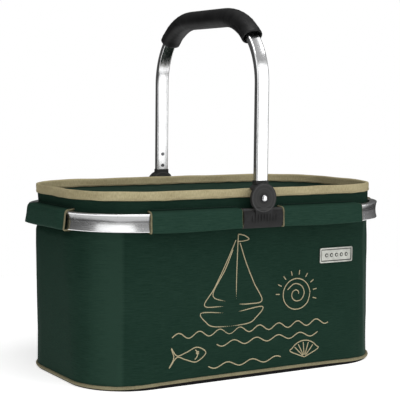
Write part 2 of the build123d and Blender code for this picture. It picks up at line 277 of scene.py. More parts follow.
def thread(name, dark, light):
    """Twisted sewing thread."""
    yarn = Finish(name, Specular_IOR_Level=0.2)
    twist = yarn.wave(yarn.place(turn=(0, 0, 0.7)), 900, direction="X")
    fuzz = yarn.noise(yarn.place(by="Object"), 1500, detail=2.0)
    yarn.colour(yarn.mix((twist * 0.6 + fuzz * 0.5).clamped(), dark, light))
    yarn.roughness(yarn.spread(fuzz, 0.3, 0.7, 0.5, 0.7))
    yarn.bump(twist, 0.0001, 0.6)
    return yarn.material


def drawn_aluminium(name, grain, rough=0.2, painted_shade_above=None):
    """Polished extrusion: faint draw lines along it, a few rubs, dull patches and painted shade on the upper
    half of its face.
    """
    metal = Finish(name, Metallic=1.0)
    lines = metal.noise(metal.place(scale=grain, by="Object"), 1.0, detail=3.0)
    dull = metal.noise(metal.place(by="Object"), 26, detail=3.0)
    scratches = metal.noise(metal.place(scale=(900, 60, 60), by="Object"), 1.0, detail=4.0)
    rubs = metal.spread(scratches, 0.66, 0.74)
    colour = metal.mix(metal.spread(dull, 0.35, 0.7), (0.90, 0.905, 0.91), (0.83, 0.835, 0.84))
    if painted_shade_above:
        # Painted shade: a darker band over the upper half of the rail's face, standing in for the dim light
        # that it reflects.
        [height] = metal.parts(metal.place(by="Object"), 2)
        upper = metal.spread(height, painted_shade_above, painted_shade_above + 0.0012)
        upper = upper - metal.spread(height, painted_shade_above + 0.0075, painted_shade_above + 0.0085)
        colour = metal.mix(upper, colour, (0.42, 0.423, 0.425))
    metal.colour(colour)
    uneven = metal.spread(lines * 0.5 + dull * 0.5, 0.35, 0.65, rough - 0.05, rough + 0.09)
    metal.roughness(uneven + rubs * 0.1)
    metal.bump(lines + rubs * 0.4, 0.00003, 0.4)
    return metal.material


def from_pivot(finish):
    """The distance from the line that the handle swings about."""
    along, height = finish.parts(finish.place(by="Object"), 0, 2)
    height = height - PIVOT_HEIGHT
    return (along * along + height * height).root()


def moulded(name, dark, light, rough=0.42, grain=2600, painted_light=False):
    """Fine-grained moulded plastic, a little polished where hands rub it, with the clamp's painted highlight
    and shade if asked.
    """
    plastic = Finish(name, Specular_IOR_Level=0.2)
    spark = plastic.noise(plastic.place(by="Object"), grain, detail=2.0)
    worn = plastic.noise(plastic.place(by="Object"), 70, detail=4.0, roughness=0.6)
    colour = plastic.mix(plastic.spread(worn, 0.4, 0.72), dark, light)
    if painted_light:
        colour = clamp_painted_light(plastic, colour, dark)
    plastic.colour(colour)
    plastic.roughness(plastic.spread(worn, 0.35, 0.7, rough + 0.05, rough - 0.07))
    plastic.bump(spark, 0.00008, 0.5)
    return plastic.material


# Radius and grey of rings painted on the clamp's ear: the two paler ones are painted highlights, the third a
# dark ring round the pin.
EAR_RINGS = ((0.0168, 0.075), (0.0120, 0.045), (0.0062, 0.012))
# Grey of the paler ear, and of the painted highlight along the clamp's top edge.
PALER_EAR = (0.032, 0.0317, 0.0313)
EDGE_HIGHLIGHT = (0.055, 0.0548, 0.054)


def clamp_painted_light(plastic, colour, dark):
    """A paler ear with painted rings above the clamp, a painted highlight along its top edge and painted
    shade on its lower half.
    """
    [height] = plastic.parts(plastic.place(by="Object"), 2)
    ear = plastic.spread(height, CLAMP_TOP + 0.0006, CLAMP_TOP + 0.0026)
    colour = plastic.mix(ear, colour, PALER_EAR)
    # Painted shade: the lower half of the clamp darker.
    lower = plastic.spread(height, CLAMP_TOP - 0.020, CLAMP_TOP - 0.009, 0.75, 0)
    colour = plastic.mix(lower, colour, dark)
    # Painted highlight along the clamp's top edge.
    from_below = plastic.spread(height, CLAMP_TOP - 0.0030, CLAMP_TOP - 0.0012, 0, 0.7)
    from_above = plastic.spread(height, CLAMP_TOP, CLAMP_TOP + 0.0006, 1, 0)
    colour = plastic.mix(from_below * from_above, colour, EDGE_HIGHLIGHT)
    reach = from_pivot(plastic)
    for radius, grey in EAR_RINGS:
        ring = plastic.spread(abs(reach - radius), 0.0003, 0.0009, 0.8, 0)
        colour = plastic.mix(ring, colour, (grey, grey, grey))
    return colour


def foam(name):
    """Closed-cell grip foam: matt skin with fine pores and long faint dents."""
    cells = Finish(name, Specular_IOR_Level=0.3)
    pores = cells.noise(cells.place(by="Object"), 1300, detail=3.0)
    dents = cells.noise(cells.place(by="Object"), 90, detail=3.0)
    dented = cells.spread(dents, 0.35, 0.7)
    cells.colour(cells.mix(dented, (0.0065, 0.0065, 0.0068), (0.016, 0.016, 0.0163)))
    cells.roughness(cells.spread(pores, 0.3, 0.7, 0.4, 0.54))
    cells.bump(pores * 0.7 + dents * 0.6, 0.00025, 0.6)
    return cells.material


def polished_steel(name):
    """Screw and pin heads: fine turning marks, and painted shade round the rim of the pin's head."""
    steel = Finish(name, Metallic=1.0)
    marks = steel.noise(steel.place(by="Object"), 900, detail=3.0)
    colour = steel.mix(marks, (0.80, 0.80, 0.81), (0.62, 0.62, 0.63))
    # Painted shade: dark round the rim of the pin's head.
    rim = steel.spread(from_pivot(steel), 0.0026, 0.0042)
    steel.colour(steel.mix(rim, colour, (0.12, 0.12, 0.125)))
    steel.roughness(steel.spread(marks, 0.3, 0.7, 0.1, 0.22))
    steel.bump(marks, 0.00002, 0.3)
    return steel.material


BADGE_BORDER = 0.0022
STUD_PITCH = 0.008
STUD_RADIUS = 0.002


def brushed_plate(name):
    """The badge: pale satin plate brushed along its length, dark in the corners of its sunk field."""
    badge = Finish(name, Metallic=0.6, Specular_IOR_Level=0.5)
    where = badge.place(by="Object")
    brushing = badge.noise(badge.place(scale=(60, 60, 2600), by="Object"), 1.0, detail=3.0)
    tarnish = badge.noise(where, 130, detail=3.0)
    dark_lines = badge_dark_lines(badge, where)
    colour = badge.mix(badge.spread(tarnish, 0.4, 0.7), (0.56, 0.57, 0.52), (0.42, 0.425, 0.39))
    badge.colour(badge.mix(dark_lines * 0.93, colour, (0.02, 0.02, 0.018)))
    badge.roughness(badge.spread(brushing, 0.3, 0.7, 0.3, 0.44) + dark_lines * 0.4)
    badge.bump(brushing, 0.00003, 0.5)
    return badge.material


def badge_dark_lines(metal, where):
    """1 in the corner between field and border, and round the foot of each stud."""
    along, height = metal.parts(where, 0, 2)
    from_x = abs(along - middle_of("badge").x)
    from_z = abs(height - middle_of("badge").z)
    beyond_x = from_x - (span("badge", 0) / 2 - BADGE_BORDER)
    beyond_z = from_z - (span("badge", 2) / 2 - BADGE_BORDER)
    edge = metal.node("ShaderNodeMath", {0: beyond_x, 1: beyond_z}, operation="MAXIMUM")
    edge = abs(edge + 0.0002)
    step = metal.node(
        "ShaderNodeMath", {0: from_x + STUD_PITCH / 2, 1: STUD_PITCH}, operation="FLOORED_MODULO"
    )
    step = step - STUD_PITCH / 2
    ring = abs((step * step + from_z * from_z).root() - STUD_RADIUS)
    ring = ring + metal.spread(from_x, STUD_PITCH * 2.49, STUD_PITCH * 2.5, 0, 0.002)
    closest = metal.node("ShaderNodeMath", {0: ring, 1: edge}, operation="MINIMUM")
    return metal.spread(closest, 0.0003, 0.0009, 1, 0)


GREEN_CLOTH = woven("green_cloth", (0.0058, 0.0210, 0.0137), (0.0210, 0.0485, 0.0343))
WALL_CLOTH = woven("wall_cloth", (0.0052, 0.0205, 0.0132), (0.0210, 0.0490, 0.0343), corner_highlight=0.62)
# A lighter copy of the wall's cloth: painted light, for the sleeves that catch more light from above.
SLEEVE_CLOTH = woven("sleeve_cloth", (0.0090, 0.0310, 0.0205), (0.0320, 0.0720, 0.0520))
LINING_CLOTH = woven("lining_cloth", (0.028, 0.060, 0.043), (0.070, 0.122, 0.090), streak=0.8)
UNDERSIDE_CLOTH = woven("underside_cloth", (0.006, 0.006, 0.0065), (0.02, 0.02, 0.021), streak=0.6)
TAN_TAPE = ribbed_tape("tan_tape", (0.33, 0.276, 0.152), (0.56, 0.495, 0.298))
# A darker copy of the tan tape: painted shade, for the piping in the floor's shadow and for the sleeves' end
# tapes.
SHADED_TAPE = ribbed_tape("shaded_tape", (0.15, 0.130, 0.075), (0.29, 0.262, 0.158))
TAN_THREAD = thread("tan_thread", (0.31, 0.255, 0.145), (0.56, 0.49, 0.32))
GREEN_THREAD = thread("green_thread", (0.012, 0.026, 0.02), (0.03, 0.05, 0.04))
RAIL_METAL = drawn_aluminium("rail_metal", (14, 14, 1500), painted_shade_above=RAIL_HIGH - 0.0105)
BOW_METAL = drawn_aluminium("bow_metal", (1500, 90, 40), rough=0.17)
BLACK_PLASTIC = moulded("black_plastic", (0.009, 0.009, 0.0092), (0.020, 0.020, 0.0205), painted_light=True)
HIDDEN_PLASTIC = moulded("joiner_plastic", (0.012, 0.012, 0.013), (0.02, 0.02, 0.021), rough=0.5)
PALE_PLASTIC = moulded("washer_plastic", (0.62, 0.62, 0.6), (0.72, 0.72, 0.7), rough=0.35)
BOARD = moulded("stiffener_board", (0.16, 0.16, 0.155), (0.26, 0.26, 0.25), rough=0.7, grain=900)
GRIP_FOAM = foam("grip_foam")
STEEL = polished_steel("polished_steel")
BADGE_PLATE = brushed_plate("badge_plate")


# ---------------------------------------------------------------- the bag's shape

# Columns of faces along half a long side, round a corner and along a short side.
HALF, CORNER, SIDE = 40, 42, 18
COLUMNS = 4 * HALF + 4 * CORNER + 2 * SIDE


def outline(length, width, radius):
    """Points and outward normals round the bag, anticlockwise from the middle of the front."""
    far_x, far_y = length / 2, width / 2
    bend_x, bend_y = far_x - radius, far_y - radius
    found = []

    def straight(start, end, normal, count):
        """A straight side."""
        for step in range(count):
            share = step / count
            x = start[0] + (end[0] - start[0]) * share
            y = start[1] + (end[1] - start[1]) * share
            found.append((x, y, *normal))

    def bend(centre_x, centre_y, start):
        """A rounded corner, anticlockwise from an angle."""
        for step in range(CORNER):
            angle = start + math.pi / 2 * step / CORNER
            across, up = math.cos(angle), math.sin(angle)
            found.append((centre_x + radius * across, centre_y + radius * up, across, up))

    straight((0, -far_y), (bend_x, -far_y), (0, -1), HALF)
    bend(bend_x, -bend_y, -math.pi / 2)
    straight((far_x, -bend_y), (far_x, bend_y), (1, 0), SIDE)
    bend(bend_x, bend_y, 0)
    straight((bend_x, far_y), (-bend_x, far_y), (0, 1), 2 * HALF)
    bend(-bend_x, bend_y, math.pi / 2)
    straight((-far_x, bend_y), (-far_x, -bend_y), (-1, 0), SIDE)
    bend(-bend_x, -bend_y, math.pi)
    straight((-bend_x, -far_y), (0, -far_y), (0, -1), HALF)
    return np.array(found)


RIM_OUTLINE = outline(RIM_LENGTH, RIM_WIDTH, RIM_RADIUS)
BASE_OUTLINE = outline(BASE_LENGTH, BASE_WIDTH, BASE_RADIUS)


def held(value):
    """A number held between 0 and 1."""
    return max(0, min(1, value))


def up_the_wall(level):
    """0 at the foot of the wall and 1 at its top."""
    return (level - WALL_BOTTOM) / (WALL_TOP - WALL_BOTTOM)


def at(places, height, out):
    """Points on the bag. places counts columns round it, out is the distance outwards from its face."""
    places = np.asarray(places, float)
    share = np.clip(up_the_wall(np.asarray(height, float)), 0, 1)
    low = np.floor(places).astype(int) % COLUMNS
    part = (places - np.floor(places))[..., None]
    rim = RIM_OUTLINE[low] * (1 - part) + RIM_OUTLINE[(low + 1) % COLUMNS] * part
    base = BASE_OUTLINE[low] * (1 - part) + BASE_OUTLINE[(low + 1) % COLUMNS] * part
    here = base + (rim - base) * share[..., None]
    normal = here[..., 2:] / np.linalg.norm(here[..., 2:], axis=-1, keepdims=True)
    flat = here[..., :2] + normal * np.asarray(out, float)[..., None]
    tall = np.broadcast_to(np.asarray(height, float), flat.shape[:-1])[..., None]
    return np.concatenate([flat, tall], axis=-1)


ALL = np.arange(COLUMNS, dtype=float)


def all_round(height, out):
    """One row of points round the bag."""
    return at(ALL, np.zeros(COLUMNS) + height, np.zeros(COLUMNS) + out)


ROUND = 2 * math.pi * ALL / COLUMNS
# 1 at the left end, fading to nothing by the middle.
LEFT_END = np.clip(-RIM_OUTLINE[:, 0] / (RIM_LENGTH / 2), 0, 1) ** 4


def wander(seed, size, waves=(3, 5, 8, 13, 21)):
    """A closed random wave round the bag, up to about size."""
    picks = random.Random(seed)
    total = np.zeros(COLUMNS)
    for count in waves:
        size_of_one = picks.uniform(0.4, 1)
        total += size_of_one * np.sin(count * ROUND + picks.uniform(0, 6.28)) / len(waves) ** 0.5
    return size * total


def skin(name, grid, finish, body, loop=True, tube=True):
    """A mesh from rows of points. loop closes each row on itself, tube closes the last row on the first."""
    return patchwork(name, [grid], finish, body, loop, tube)


def patchwork(name, grids, finish, body, loop=True, tube=True):
    """One piece from several grids of points."""
    points, faces, places = [], [], []
    for grid in grids:
        grid = np.asarray(grid, float)
        first = len(points)
        points += list(grid.reshape(-1, 3))
        more_faces, more_places = faces_of(grid, loop, tube, first)
        faces += more_faces
        places += more_places
    return mesh_piece(name, points, faces, places, finish, body)


def faces_of(grid, loop, tube, first):
    """The faces of one grid, and where each of their corners lies along and across the cloth."""
    rows, columns = grid.shape[:2]
    row = np.concatenate([grid[0], grid[0][:1]])
    column = np.concatenate([grid[:, 0], grid[:1, 0]])
    along = np.concatenate([[0], np.cumsum(np.linalg.norm(np.diff(row, axis=0), axis=1))])
    across = np.concatenate([[0], np.cumsum(np.linalg.norm(np.diff(column, axis=0), axis=1))])
    faces, places = [], []
    for r in range(rows if tube else rows - 1):
        for c in range(columns if loop else columns - 1):
            below, above = first + r * columns, first + (r + 1) % rows * columns
            beside = (c + 1) % columns
            faces.append((below + c, below + beside, above + beside, above + c))
            places += [(along[c], across[r]), (along[c + 1], across[r])]
            places += [(along[c + 1], across[r + 1]), (along[c], across[r + 1])]
    if tube and not loop:
        for end in (0, columns - 1):
            for r in range((rows - 1) // 2):
                ring = list(dict.fromkeys([r, r + 1, rows - 2 - r, rows - 1 - r]))
                if len(ring) > 2:
                    faces.append([first + k * columns + end for k in ring])
                    places += [(along[end], across[k]) for k in ring]
    return faces, places


def mesh_piece(name, points, faces, places, finish, body):
    """A finished piece from points and faces, smooth, with its normals outwards."""
    mesh = bpy.data.meshes.new(name)
    mesh.from_pydata([tuple(p) for p in points], [], [tuple(f) for f in faces])
    layer = mesh.uv_layers.new(name="along_and_across")
    layer.data.foreach_set("uv", np.asarray(places, np.float32).ravel())
    mesh.materials.append(finish)
    mesh.polygons.foreach_set("use_smooth", [True] * len(mesh.polygons))
    mesh.update()
    piece = bpy.data.objects.new(name, mesh)
    bpy.context.scene.collection.objects.link(piece)
    outwards(mesh)
    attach(piece, body)
    return piece


def outwards(mesh, close=False):
    """Turns every face of a mesh to look out, after closing its holes if asked."""
    work = bmesh.new()
    work.from_mesh(mesh)
    if close:
        bmesh.ops.holes_fill(work, edges=[edge for edge in work.edges if edge.is_boundary], sides=0)
    bmesh.ops.recalc_face_normals(work, faces=work.faces)
    work.to_mesh(mesh)
    work.free()


def squash_with_frame(piece):
    """Gives the piece its own copy of its mesh."""
    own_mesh(piece)


# ---------------------------------------------------------------- body of the bag

# Angle of the middle of a corner's flat stretch and half the angle that it takes, in degrees.
FLAT_MIDDLE = 45.5
FLAT_HALF = 14.5


def flat_corners(share=0.5):
    """How far the cloth lies in where it runs straight between each corner's two soft folds."""
    normals = all_round(0.1, 1.0) - all_round(0.1, 0)
    turn = np.degrees(np.arctan2(np.abs(normals[:, 0]), np.abs(normals[:, 1])))
    stray = 1.6 * math.sin(5.2 * share + 1) + 1.1 * math.sin(13 * share)
    from_middle = np.radians(turn - FLAT_MIDDLE - stray)
    half = math.radians(FLAT_HALF)
    chord = RIM_RADIUS * (math.cos(half) / np.cos(np.clip(from_middle, -half, half)) - 1)
    return np.where(np.abs(from_middle) < half, chord, 0)


# How far the wall's cloth lies outside its CAD face, its thickness, and how much fuller the left end is.
WALL_PROUD = 0.0001
WALL_THICKNESS = 0.0012
LEFT_FULLNESS = 0.0036
# The wall is pressed in behind the badge and a little round it.
BADGE_DENT = -0.0004
BADGE_MARGIN = 0.008


def bag_wall():
    """The outer cloth from the foot to just under the rail, a little full at the left end."""
    levels = np.linspace(WALL_BOTTOM, WALL_TOP - 0.003, 60)
    levels = np.concatenate([levels, [WALL_TOP - 0.0005, WALL_TOP + 0.0013]])
    soft, slack = wander(11, 0.00035), wander(5, 0.0003, (2, 4, 7))
    along, front = RIM_OUTLINE[:, 0], RIM_OUTLINE[:, 1] < 0
    badge_low, badge_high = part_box("badge")
    near_badge = front & (along > badge_low.x - BADGE_MARGIN) & (along < badge_high.x + BADGE_MARGIN)
    rows = []
    for level in levels:
        share = up_the_wall(level)
        belly = math.sin(math.pi * min(share, 1)) ** 0.8
        fullness = LEFT_FULLNESS * LEFT_END * held((share - 0.25) / 0.6) * held((1.004 - share) / 0.05)
        drift = np.where(near_badge, BADGE_DENT, soft * belly + slack * belly * math.cos(7 * share))
        folded = flat_corners(share) * held((1.01 - share) / 0.07) * min(1, 0.35 + share * 5)
        rows.append(all_round(level, drift + fullness + folded + WALL_PROUD))
    inner = [all_round(level, flat_corners() - WALL_THICKNESS) for level in levels[::-6]]
    wall = skin("bag_wall", rows + inner, WALL_CLOTH, "basket")
    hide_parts("outer_wall", "wall_stiffener")
    squash_with_frame(wall)


# Height above the wall and distance out of the lining's turned top edge and of its back.
LINING_TURN = (
    (0.0005, -0.0048), (0.0022, -0.0035), (0.0026, -0.0024), (0.0014, -0.0026), (-0.002, -0.0040),
)


def bag_lining():
    """The lining of the wall, turned out over the stiffener at its top."""
    soft = np.abs(wander(23, 0.0005))
    flat = flat_corners() * 0.9
    rows = []
    for level in np.linspace(LINING_FLOOR - 0.001, WALL_TOP - 0.002, 44):
        rows.append(all_round(level, -0.0052 + flat - soft * math.sin(math.pi * up_the_wall(level))))
    for above, out in LINING_TURN:
        rows.append(all_round(WALL_TOP + above, out))
    rows.append(all_round(LINING_FLOOR, -0.0042))
    lining = skin("bag_lining", rows, LINING_CLOTH, "basket")
    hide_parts("wall_lining")
    squash_with_frame(lining)


def above_rail(level):
    """0 up to the top of the rail, growing to 1 at the rim."""
    return max(0, (level - RAIL_HIGH) / (RIM_TOP - RAIL_HIGH))


RIM_LEAN = 0.0024


def rim_flare(level):
    """How far the soft rim leans out at the left end."""
    return RIM_LEAN * LEFT_END * above_rail(level)


def rim_band():
    """The unstiffened band between the wall and the binding, with its own lining."""
    soft = wander(31, 0.0003)
    levels = np.linspace(WALL_TOP + 0.0003, BAND_TOP, 14)
    drifts = [soft * above_rail(level) + rim_flare(level) for level in levels]

    def cloth(outside, inside):
        """Rows up one face of a cloth and down the other, each so far out from the band's line."""
        up = [all_round(level, drift + outside) for level, drift in zip(levels, drifts)]
        down = [all_round(level, drift + inside) for level, drift in zip(levels, drifts)]
        return up + down[::-1]

    band = skin("rim_band", cloth(0, -0.0011), GREEN_CLOTH, "frame")
    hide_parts("band_outer")
    rows = cloth(-0.0013, -0.0022 - np.abs(soft) * 0.5)
    lining = skin("rim_band_lining", rows, LINING_CLOTH, "frame")
    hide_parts("band_lining")


def binding_section():
    """Round the folded tape: distance out, height, and how freely the edge waves there."""
    low, top = BINDING_LOW, RIM_TOP
    return (
        (0.0012, low, 1.0), (0.0014, low + 0.0012, 0.8), (0.0012, low + 0.004, 0.3),
        (0.0013, top - 0.003, 0.1), (0.0011, top - 0.0014, 0), (0.0005, top - 0.0003, 0),
        (-0.0005, top, 0), (-0.0017, top, 0), (-0.0027, top - 0.0003, 0),
        (-0.0034, top - 0.0014, 0), (-0.0035, top - 0.003, 0.1), (-0.0034, low + 0.004, 0.3),
        (-0.0036, low + 0.0012, 0.8), (-0.0034, low, 1.0), (-0.0026, low + 0.0002, 1.0),
        (-0.0024, top - 0.0014, 0), (0.0002, top - 0.0014, 0), (0.0003, low + 0.0002, 1.0),
    )


def rim_binding():
    """Tape folded over the rim, its lower edges a little wavy. Gives back both edges' waves."""
    short_waves = (9, 17, 31, 47)
    edge, inside = wander(3, 0.00035, short_waves), wander(4, 0.00035, short_waves)
    crown = wander(8, 0.0003)
    rows = []
    for out, level, loose in binding_section():
        wave, away = (edge, 1) if out > -0.001 else (inside, -1)
        lift = crown * (level - BINDING_LOW) / (RIM_TOP - BINDING_LOW) * 1.2 + wave * loose
        drift = rim_flare(level) + np.abs(wave) * loose * away
        rows.append(all_round(level + lift, out + drift))
    binding = skin("rim_binding_tape", rows, TAN_TAPE, "frame")
    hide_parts("rim_binding")
    return edge, inside


# The stiff floor bows down a little, so the piping stands higher in the middle of the long sides.
FOOT_LIFT = 0.0024 * np.clip(1 - (BASE_OUTLINE[:, 0] / (BASE_LENGTH / 2 - 0.03)) ** 4, 0, 1)


# The cord is this share of the CAD piping's thickness.
PIPING_SHARE = 0.86


def foot_piping():
    """Corded piping round the foot."""
    radius = PIPING_SHARE * (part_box("base_piping")[1].z - WALL_BOTTOM) / 2
    centre = WALL_BOTTOM + radius
    reach = radius + wander(14, 0.00012, (21, 34, 55, 89)) * 0.8
    sides = 14
    rows = []
    for step in range(sides):
        angle = 2 * math.pi * step / sides
        height = centre + FOOT_LIFT + reach * math.sin(angle)
        rows.append(all_round(height, 0.0001 + reach * math.cos(angle)))
    piping = skin("foot_piping", rows, SHADED_TAPE, "basket")
    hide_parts("base_piping")


def shrunk(row, shares):
    """Copies of a row of points drawn in towards the middle of the bag."""
    return [row * np.array([share, share, 1]) for share in shares]


def plate(name, inset, low, high, edge, finish, lift=0):
    """A flat sewn pad that follows the foot, its edge rounded, with its upper side lifted if asked."""
    tall = (high - low) / 2
    rows = []
    for angle in range(-90, 91, 30):
        turn = math.radians(angle)
        level = (low + high) / 2 + tall * math.sin(turn)
        out = -inset - edge + edge * math.cos(turn)
        rows.append(all_round(level + lift * (level - low) / (high - low), out + lift * 0.55))
    below = shrunk(rows[0], (0.02, 0.3, 0.6, 0.9))
    above = shrunk(rows[-1], (0.97, 0.9, 0.78, 0.62, 0.42, 0.2, 0.02))
    piece = skin(name, below + rows + above, finish, "basket", tube=False)
    outwards(piece.data, close=True)
    layer = piece.data.uv_layers[0]
    for corner in piece.data.loops:
        spot = piece.data.vertices[corner.vertex_index].co
        layer.data[corner.index].uv = (spot.x, spot.y)
    return piece


def floor_of_the_bag():
    """The coated underside and the padded board lying inside."""
    top = WALL_BOTTOM + 0.0002
    underside = plate("underside", 0.0002, 0, top, 0.0007, UNDERSIDE_CLOTH, FOOT_LIFT)
    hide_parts("base_fabric")
    inset = (BASE_LENGTH - span("base_lining", 0)) / 2
    low = WALL_BOTTOM + 0.003
    pad = plate("floor_pad", inset, low, LINING_FLOOR, 0.0006, LINING_CLOTH)
    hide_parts("base_lining")


# ---------------------------------------------------------------- sleeves round the rail

# Places round the bag at every twentieth of a column, and the line that the sleeves hang on.
FINE_STEP = 0.05
FINE = np.arange(0, COLUMNS, FINE_STEP)
SLEEVE_LINE = at(FINE, np.full(len(FINE), RAIL_LOW), 0.0148)
TUNNELS = sorted(name for name in nodes if name.endswith("_tunnel"))


def stretch_of(node, count):
    """The columns that a sleeve covers, evenly spread over its own length."""
    low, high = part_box(node)
    axis = 0 if high.x - low.x > high.y - low.y else 1
    along, across = SLEEVE_LINE[:, axis], SLEEVE_LINE[:, 1 - axis]
    same_side = across * middle_of(node)[1 - axis] > 0
    picked = np.nonzero((along > low[axis]) & (along < high[axis]) & same_side)[0]
    breaks = np.nonzero(np.diff(picked) > 1)[0]
    if len(breaks):
        picked = np.concatenate([picked[breaks[0] + 1:], picked[: breaks[0] + 1] + len(FINE)])
    return np.linspace(picked[0] * FINE_STEP, picked[-1] * FINE_STEP, count)


def sleeve_section(thickness):
    """Where the cloth lies round the rail: out and height, from behind its top to behind its bottom."""
    top, low = RAIL_HIGH, RAIL_LOW
    outer = [
        (0.0004, top + 0.0024), (0.0030, top + 0.0021), (0.0070, top + 0.0019), (0.0105, top + 0.0016),
        (0.0128, top + 0.0009), (0.0141, top - 0.0008), (0.0146, top - 0.0035), (0.0145, top - 0.0070),
        (0.0144, top - 0.0110), (0.0145, top - 0.0150), (0.0147, top - 0.0185), (0.0147, low + 0.0012),
        (0.0143, low - 0.0001), (0.0130, low - 0.0009), (0.0100, low - 0.0012), (0.0060, low - 0.0012),
        (0.0025, low - 0.0011), (0.0004, low - 0.0011),
    ]
    inner = []
    for index, (out, level) in enumerate(outer):
        before, after = outer[max(index - 1, 0)], outer[min(index + 1, len(outer) - 1)]
        along = Vector((after[0] - before[0], after[1] - before[1])).normalized()
        inner.append((out + along.y * thickness, level - along.x * thickness))
    return outer, inner


SLEEVE_CLOTH_THICKNESS = 0.0009


def sleeve(node):
    """One cloth sleeve: slack between its ends, its lower edge hanging a little outwards at the ends."""
    count = 64
    places = stretch_of(node, count)
    share = np.linspace(0, 1, count)
    ends = np.abs(2 * share - 1) ** 6
    picks = random.Random(node)
    shift = [picks.uniform(0, 6.28) for _ in range(4)]
    ripple = 0.00035 * np.sin(9 * share + shift[0]) + 0.00025 * np.sin(23 * share + shift[1])
    hang = 0.0006 * np.sin(5 * share + shift[2]) - 0.0004
    flare = 0.0026 if "end" in node else 0.0006
    outer, inner = sleeve_section(SLEEVE_CLOTH_THICKNESS)
    rows = []
    for out, level in outer + inner[::-1]:
        lower = held((RAIL_HIGH - level) / (RAIL_HIGH - RAIL_LOW))
        away = held(out / 0.014)
        push = ripple * away + flare * ends * lower * away ** 3 + 0.0005 * lower * away
        fall = np.minimum(hang * lower * away, 0.0001)
        rows.append(at(places, level + fall, out + push))
    piece = skin(node + "_sleeve", rows, SLEEVE_CLOTH, "frame", loop=False)
    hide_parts(node)
    return rows


# How far the tape shows on the outside at a sleeve's two ends, in metres.
SLEEVE_TAPE_WIDTHS = {
    "front_left_tunnel": (0.0014, 0),
    "front_right_tunnel": (0.0012, 0),
    "rear_right_tunnel": (0.0014, 0),
    "rear_left_tunnel": (0.0012, 0),
    "left_end_tunnel": (0, 0.0012),
    "right_end_tunnel": (0, 0.0012),
}


def sleeve_tapes(rows, widths):
    """Tape folded over both ends of a sleeve, as wide outside as widths says; at 0 it stays inside."""
    made = []
    half = len(rows) // 2
    for columns, width in zip(((0, 1), (-1, -2)), widths):
        profile, next_to_it = (np.array([row[c] for row in rows[:half]]) for c in columns)
        inwards = next_to_it - profile
        inwards /= np.linalg.norm(inwards, axis=1, keepdims=True)
        away = np.cross(np.gradient(profile, axis=0), inwards)
        away /= np.linalg.norm(away, axis=1, keepdims=True)
        if away[half // 2] @ (profile[half // 2] * np.array([1, 1, 0])) < 0:
            away = -away
        raised = 1 if width else -0.4
        section = (
            (0.0001 * raised, width), (0.0005 * raised, width * 0.94), (0.0006 * raised, width * 0.5),
            (0.0005 * raised, 0.0001), (0.0001 * raised, -0.0004),
            (-0.0008, -0.0005), (-0.0012, -0.0002), (-0.0013, 0.0012), (-0.0012, 0.0030),
            (-0.0009, 0.0033),
        )
        made.append([profile + away * out + inwards * back for out, back in section])
    return made


def sleeves():
    """All six sleeves and the tapes that bind their ends."""
    tapes = []
    for node in TUNNELS:
        tapes += sleeve_tapes(sleeve(node), SLEEVE_TAPE_WIDTHS[node])
    tape = patchwork("sleeve_tapes", tapes, SHADED_TAPE, "frame", loop=False)
    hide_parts("tunnel_edging")


# ---------------------------------------------------------------- thread

# Along one stitch, in lengths from its middle: how thick it is there.
CAPSULE = ((-0.5, 0.3), (-0.42, 0.8), (-0.25, 1), (0, 1), (0.25, 1), (0.42, 0.8), (0.5, 0.3))
STITCH_LENGTH = 0.0026
STITCH_RADIUS = 0.0003
STITCH_SIDES = 6


def stitch_points(here, ahead, side, up):
    """The rings of points of one stitch, lying on the cloth."""
    points = []
    for place, size in CAPSULE:
        sink = STITCH_RADIUS * (1 - 1.5 * abs(place) ** 2)
        for k in range(STITCH_SIDES):
            angle = 2 * math.pi * k / STITCH_SIDES
            spot = here + ahead * place * STITCH_LENGTH
            spot = spot + up * (sink + STITCH_RADIUS * size * math.sin(angle))
            points.append(spot + side * STITCH_RADIUS * 1.25 * size * math.cos(angle))
    return points


def stitch_faces(first, along):
    """The faces of one stitch, and where each of their corners lies along and round the thread."""
    faces, places = [], []
    piece = STITCH_LENGTH / 7
    for ring in range(len(CAPSULE) - 1):
        for k in range(STITCH_SIDES):
            a = first + ring * STITCH_SIDES + k
            b = first + ring * STITCH_SIDES + (k + 1) % STITCH_SIDES
            faces.append((a, b, b + STITCH_SIDES, a + STITCH_SIDES))
            u, v = along + CAPSULE[ring][0] * STITCH_LENGTH, STITCH_RADIUS * k
            places += [(u, v), (u, v + STITCH_RADIUS), (u + piece, v + STITCH_RADIUS), (u + piece, v)]
    last = first + (len(CAPSULE) - 1) * STITCH_SIDES
    faces += [tuple(range(start, start + STITCH_SIDES)) for start in (first, last)]
    places += [(along, 0)] * (2 * STITCH_SIDES)
    return faces, places


def stitches(name, lines, finish, body, gap=0.0011):
    """Rows of separate stitches. Each line is its points and the surface's normals there."""
    points, faces, places = [], [], []
    pitch = STITCH_LENGTH + gap
    for line, normals in lines:
        line, normals = np.asarray(line, float), np.asarray(normals, float)
        steps = np.linalg.norm(np.diff(line, axis=0), axis=1)
        reach = np.concatenate([[0], np.cumsum(steps)])

        def on(rows, place):
            """What rows say at a distance along the line."""
            return np.array([np.interp(place, reach, rows[:, k]) for k in range(3)])

        for along in np.arange(pitch / 2, reach[-1], pitch):
            ahead = on(line, along + STITCH_LENGTH / 3) - on(line, along - STITCH_LENGTH / 3)
            ahead /= np.linalg.norm(ahead)
            side = np.cross(ahead, on(normals, along))
            side /= np.linalg.norm(side)
            more_faces, more_places = stitch_faces(len(points), along)
            points += stitch_points(on(line, along), ahead, side, np.cross(side, ahead))
            faces += more_faces
            places += more_places
    return mesh_piece(name, points, faces, places, finish, body)


def round_line(level, out):
    """A closed line round the bag and its normals, ready to be stitched along."""
    points = all_round(level, out)
    normals = np.column_stack([RIM_OUTLINE[:, 2:], np.zeros(COLUMNS)])
    return np.concatenate([points, points[:1]]), np.concatenate([normals, normals[:1]])


